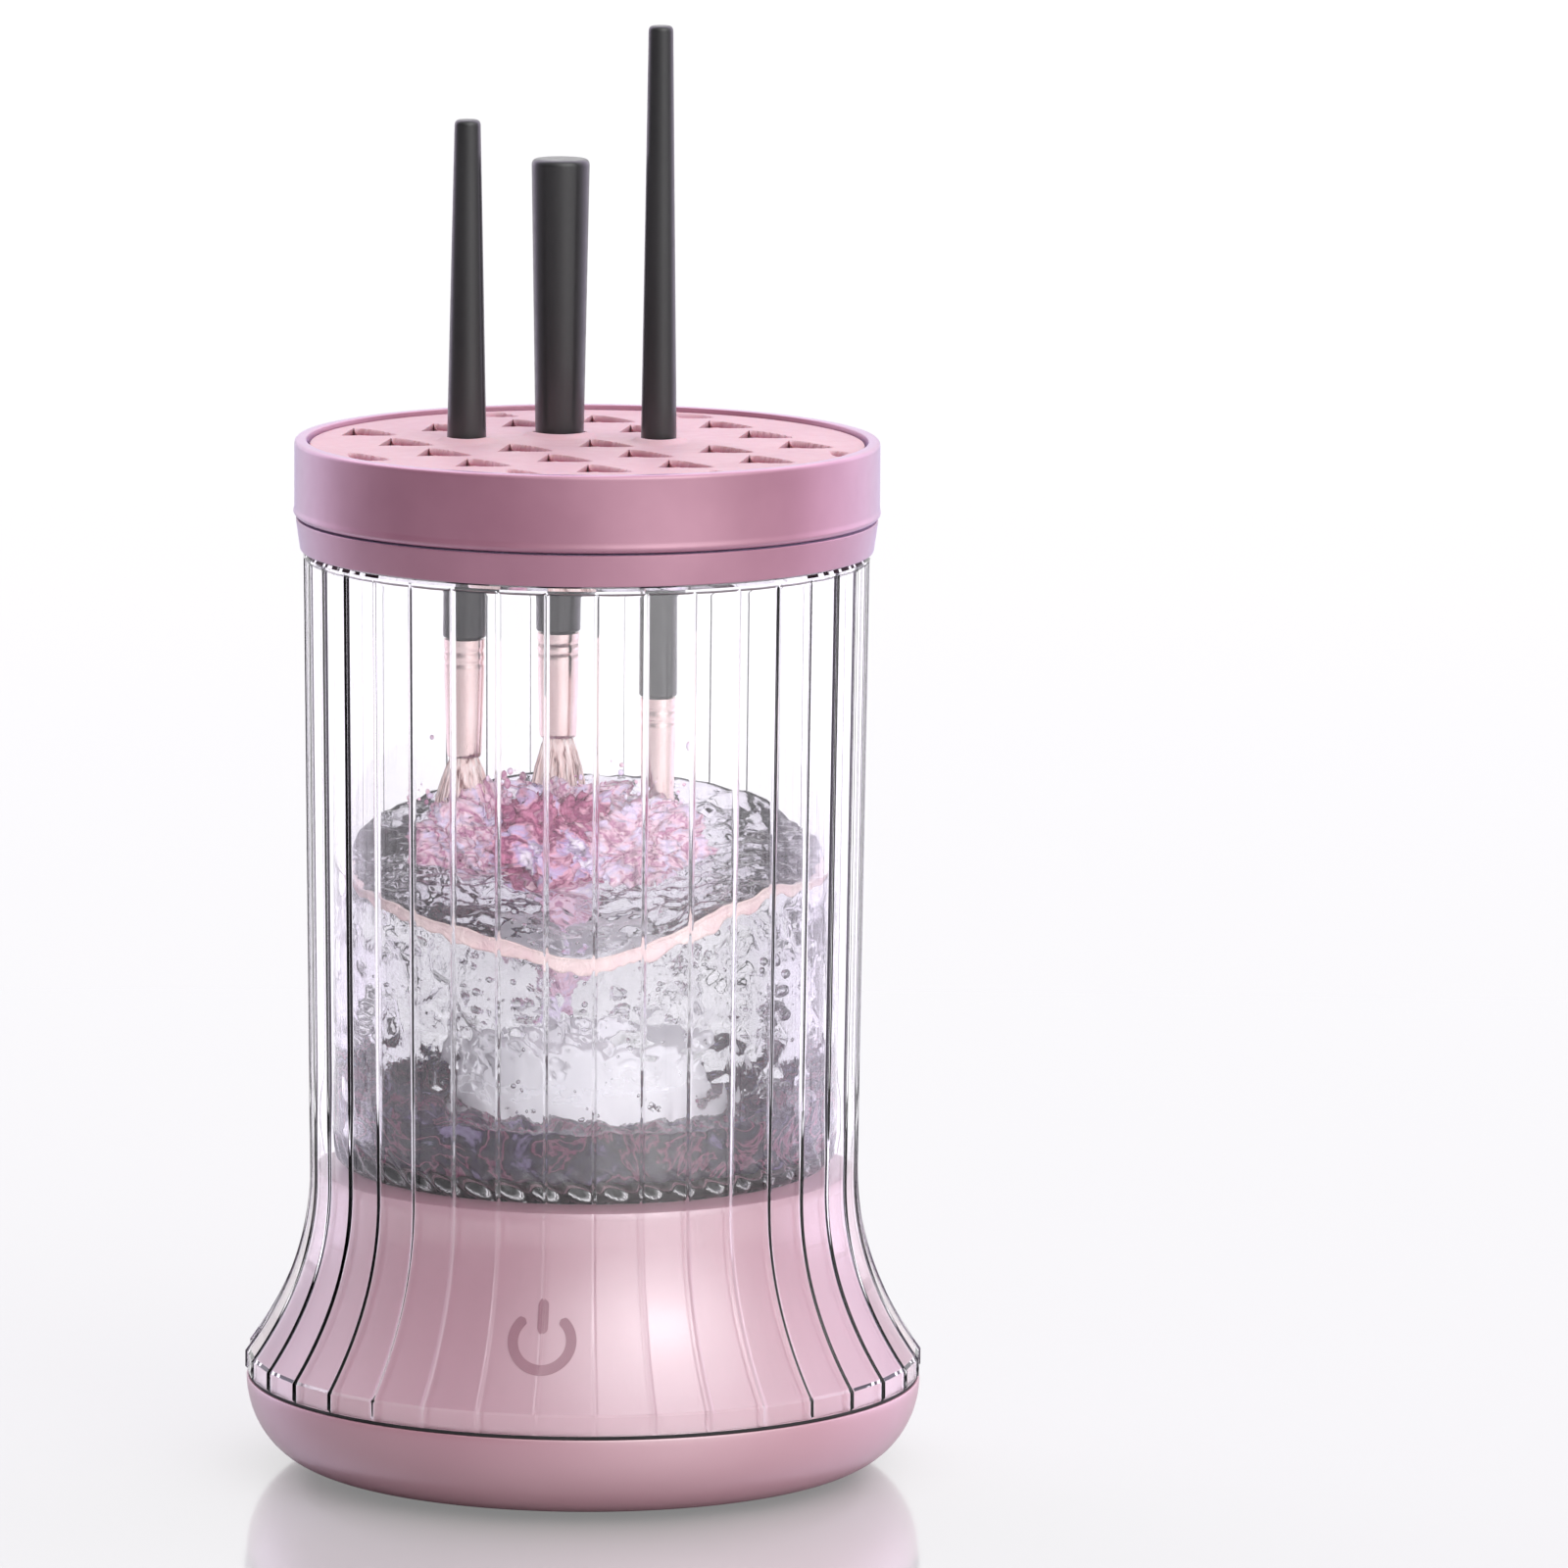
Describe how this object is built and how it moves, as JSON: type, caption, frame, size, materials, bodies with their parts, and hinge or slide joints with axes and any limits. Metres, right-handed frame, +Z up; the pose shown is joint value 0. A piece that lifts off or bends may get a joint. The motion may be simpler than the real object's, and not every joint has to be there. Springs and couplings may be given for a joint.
{
  "type": "brush cleaner",
  "caption": "Electric make-up brush cleaner: clear fluted shell on a pink flared base, clear wash cup with a spinning silicone mat, and a lid with a slit pad that holds brushes.",
  "frame": {"origin": "on the floor at the centre of the round base", "axes": "+Z up along the axis of the cup, -Y towards the power key, +Y towards the charging port"},
  "size_m": [0.105, 0.105, 0.2232],
  "materials": {
    "clear_acrylic": "clear polished acrylic",
    "pearl_pink": "pearl pink, satin gloss",
    "tray_pink": "pink, satin gloss",
    "rose_metallic": "rose metallic lacquer",
    "pink_silicone": "matt silicone",
    "black_rubber": "matt rubber",
    "white_plastic": "satin",
    "grey_plastic": "moulded",
    "steel": "plated",
    "brass": "machined",
    "green_board": "solder mask",
    "battery_blue": "shrink wrap",
    "black_handle": "satin charcoal lacquer",
    "rose_ferrule": "rose anodised",
    "brown_bristle": "fine synthetic hair"
  },
  "bodies": {
    "base": {"bottom_tray": "tray_pink", "foot_ring": "black_rubber", "seam_gasket": "black_rubber", "outer_shell": "clear_acrylic", "core_shell": "pearl_pink", "case_screw_1": "steel", "case_screw_2": "steel", "case_screw_3": "steel", "case_screw_4": "steel", "battery_pack": "battery_blue", "circuit_board": "green_board", "charging_port": "steel", "port_tongue": "grey_plastic", "key_board": "green_board", "key_pad": "brass", "power_led": "white_plastic", "motor_can": "steel", "motor_bracket": "steel", "motor_screw_1": "steel", "motor_screw_2": "steel", "bracket_screw_1": "steel", "bracket_screw_2": "steel", "bracket_screw_3": "steel"},
    "rotor": {"drive_shaft": "steel", "magnet_carrier": "grey_plastic", "drive_magnet_1": "steel", "drive_magnet_2": "steel", "drive_magnet_3": "steel", "drive_magnet_4": "steel"},
    "cup": {"inner_cup": "clear_acrylic", "collar_ring": "rose_metallic", "spindle_pin": "steel"},
    "spinner": {"turntable": "white_plastic", "driven_magnet_1": "steel", "driven_magnet_2": "steel", "driven_magnet_3": "steel", "driven_magnet_4": "steel", "spindle_bush": "brass", "cleaning_mat": "pink_silicone", "agitator_hub": "white_plastic"},
    "lid": {"lid_ring": "rose_metallic", "lid_gasket": "pink_silicone", "brush_pad": "pink_silicone"},
    "round_brush": {"round_brush_handle": "black_handle", "round_brush_ferrule": "rose_ferrule", "round_brush_bristles": "brown_bristle"},
    "fan_brush": {"fan_brush_handle": "black_handle", "fan_brush_ferrule": "rose_ferrule", "fan_brush_bristles": "brown_bristle"},
    "fine_brush": {"fine_brush_handle": "black_handle", "fine_brush_ferrule": "rose_ferrule", "fine_brush_bristles": "brown_bristle"}
  },
  "joints": [
    {"name": "rotor_spin", "type": "hinge", "parent": "base", "child": "rotor", "pos_m": [0, 0, 0.043], "axis": [0, 0, 1], "continuous": true},
    {"name": "cup_lift", "type": "slide", "parent": "base", "child": "cup", "axis": [0, 0, 1], "range_m": [0, 0.105]},
    {"name": "mat_spin", "type": "hinge", "parent": "cup", "child": "spinner", "pos_m": [0, 0, 0.055], "axis": [0, 0, 1], "continuous": true},
    {"name": "lid_lift", "type": "slide", "parent": "cup", "child": "lid", "axis": [0, 0, 1], "range_m": [0, 0.07]},
    {"name": "round_brush_slide", "type": "slide", "parent": "lid", "child": "round_brush", "axis": [0, 0, 1], "range_m": [-0.024, 0.028]},
    {"name": "fan_brush_slide", "type": "slide", "parent": "lid", "child": "fan_brush", "axis": [0, 0, 1], "range_m": [-0.026, 0.026]},
    {"name": "fine_brush_slide", "type": "slide", "parent": "lid", "child": "fine_brush", "axis": [0, 0, 1], "range_m": [-0.02, 0.036]}
  ],
  "couplings": [
    {"joint": "rotor_spin", "follows": "mat_spin", "ratio": 1}
  ]
}
